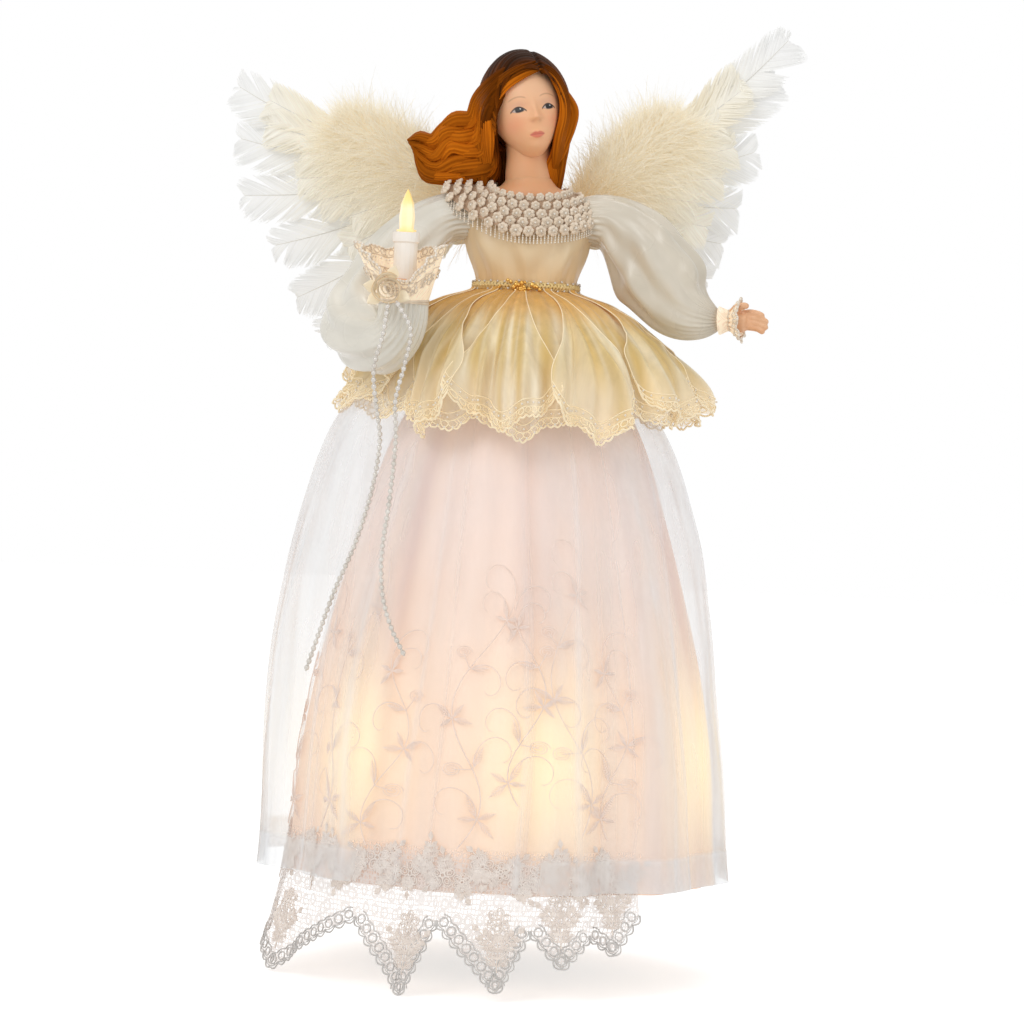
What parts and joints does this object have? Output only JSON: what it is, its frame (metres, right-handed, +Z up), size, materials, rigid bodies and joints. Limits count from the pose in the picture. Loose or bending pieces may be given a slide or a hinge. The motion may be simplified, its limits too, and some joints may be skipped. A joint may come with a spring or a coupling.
{
  "type": "lit angel tree topper",
  "caption": "Angel figure on a hollow cone that goes over a tree's leader, with layered cloth skirts lit from inside, feather wings, a lit candle in one hand and an open arm.",
  "frame": {"origin": "centre of the cone's lower rim, where the tree's leader goes in", "axes": "+Z up along the cone, -Y the way the figure faces, +X towards its open arm"},
  "size_m": [0.2134, 0.1749, 0.3608],
  "materials": {
    "plastic": "moulded white",
    "lamp_glass": "clear mini lamp, lit",
    "wire": "white insulation",
    "steel": "bare wire",
    "form": "moulded, unpainted",
    "resin": "painted resin",
    "hair": "painted resin with a soft sheen",
    "satin": "ivory satin",
    "silver_satin": "silver-white satin",
    "lining": "pinkish-white satin, lit from inside",
    "organza": "sheer organza",
    "cream_organza": "cream organza",
    "lace": "silver-grey lace",
    "gold": "gold beaded braid",
    "ribbon": "ivory ribbon",
    "pearl": "pearlised",
    "card": "white card",
    "feather": "goose feather",
    "down": "marabou down"
  },
  "bodies": {
    "figure": {"cone_body": "plastic", "lamp_socket_1": "plastic", "lamp_socket_2": "plastic", "lamp_socket_3": "plastic", "lamp_socket_4": "plastic", "lamp_socket_5": "plastic", "lamp_socket_6": "plastic", "lamp_1": "lamp_glass", "lamp_2": "lamp_glass", "lamp_3": "lamp_glass", "lamp_4": "lamp_glass", "lamp_5": "lamp_glass", "lamp_6": "lamp_glass", "lamp_wire": "wire", "torso_form": "form", "lead_riser": "wire", "bodice": "satin", "bust": "resin", "hair": "hair", "collar": "lace", "waist_braid": "gold", "peplum": "cream_organza", "lining": "lining", "apron": "lace", "overskirt": "organza", "left_wing_stem": "steel", "right_wing_stem": "steel"},
    "open_arm": {"open_arm_wire": "steel", "open_sleeve": "silver_satin", "open_cuff": "lace", "open_hand": "resin"},
    "candle_arm": {"candle_arm_wire": "steel", "candle_sleeve": "silver_satin", "candle_cuff": "lace", "candle_hand": "resin", "candle_tube": "plastic", "candle_lead": "wire", "ribbon_rose": "ribbon", "outer_pearl_strand": "pearl", "inner_pearl_strand": "pearl"},
    "candle_bulb": {"candle_lamp": "lamp_glass"},
    "left_wing": {"left_feather_1": "feather", "left_feather_2": "feather", "left_feather_3": "feather", "left_feather_4": "feather", "left_feather_5": "feather", "left_feather_6": "feather", "left_wing_card": "card", "left_wing_down": "down", "left_wing_wire": "steel"},
    "right_wing": {"right_feather_1": "feather", "right_feather_2": "feather", "right_feather_3": "feather", "right_feather_4": "feather", "right_feather_5": "feather", "right_feather_6": "feather", "right_wing_card": "card", "right_wing_down": "down", "right_wing_wire": "steel"}
  },
  "joints": [
    {"name": "open_arm_flex", "type": "hinge", "parent": "figure", "child": "open_arm", "pos_m": [0.02465, 0, 0.24535], "axis": [-1, 0, 0], "range_deg": [0, 30]},
    {"name": "candle_arm_flex", "type": "hinge", "parent": "figure", "child": "candle_arm", "pos_m": [-0.02465, 0, 0.24535], "axis": [-1, 0, 0], "range_deg": [0, 30]},
    {"name": "candle_bulb_pull", "type": "slide", "parent": "candle_arm", "child": "candle_bulb", "axis": [0, 0, 1], "range_m": [0, 0.012]},
    {"name": "left_wing_fold", "type": "hinge", "parent": "figure", "child": "left_wing", "pos_m": [-0.007, 0.0205, 0.24035], "axis": [0, 0, -1], "range_deg": [0, 30]},
    {"name": "right_wing_fold", "type": "hinge", "parent": "figure", "child": "right_wing", "pos_m": [0.007, 0.0205, 0.24035], "axis": [0, 0, 1], "range_deg": [0, 30]}
  ]
}
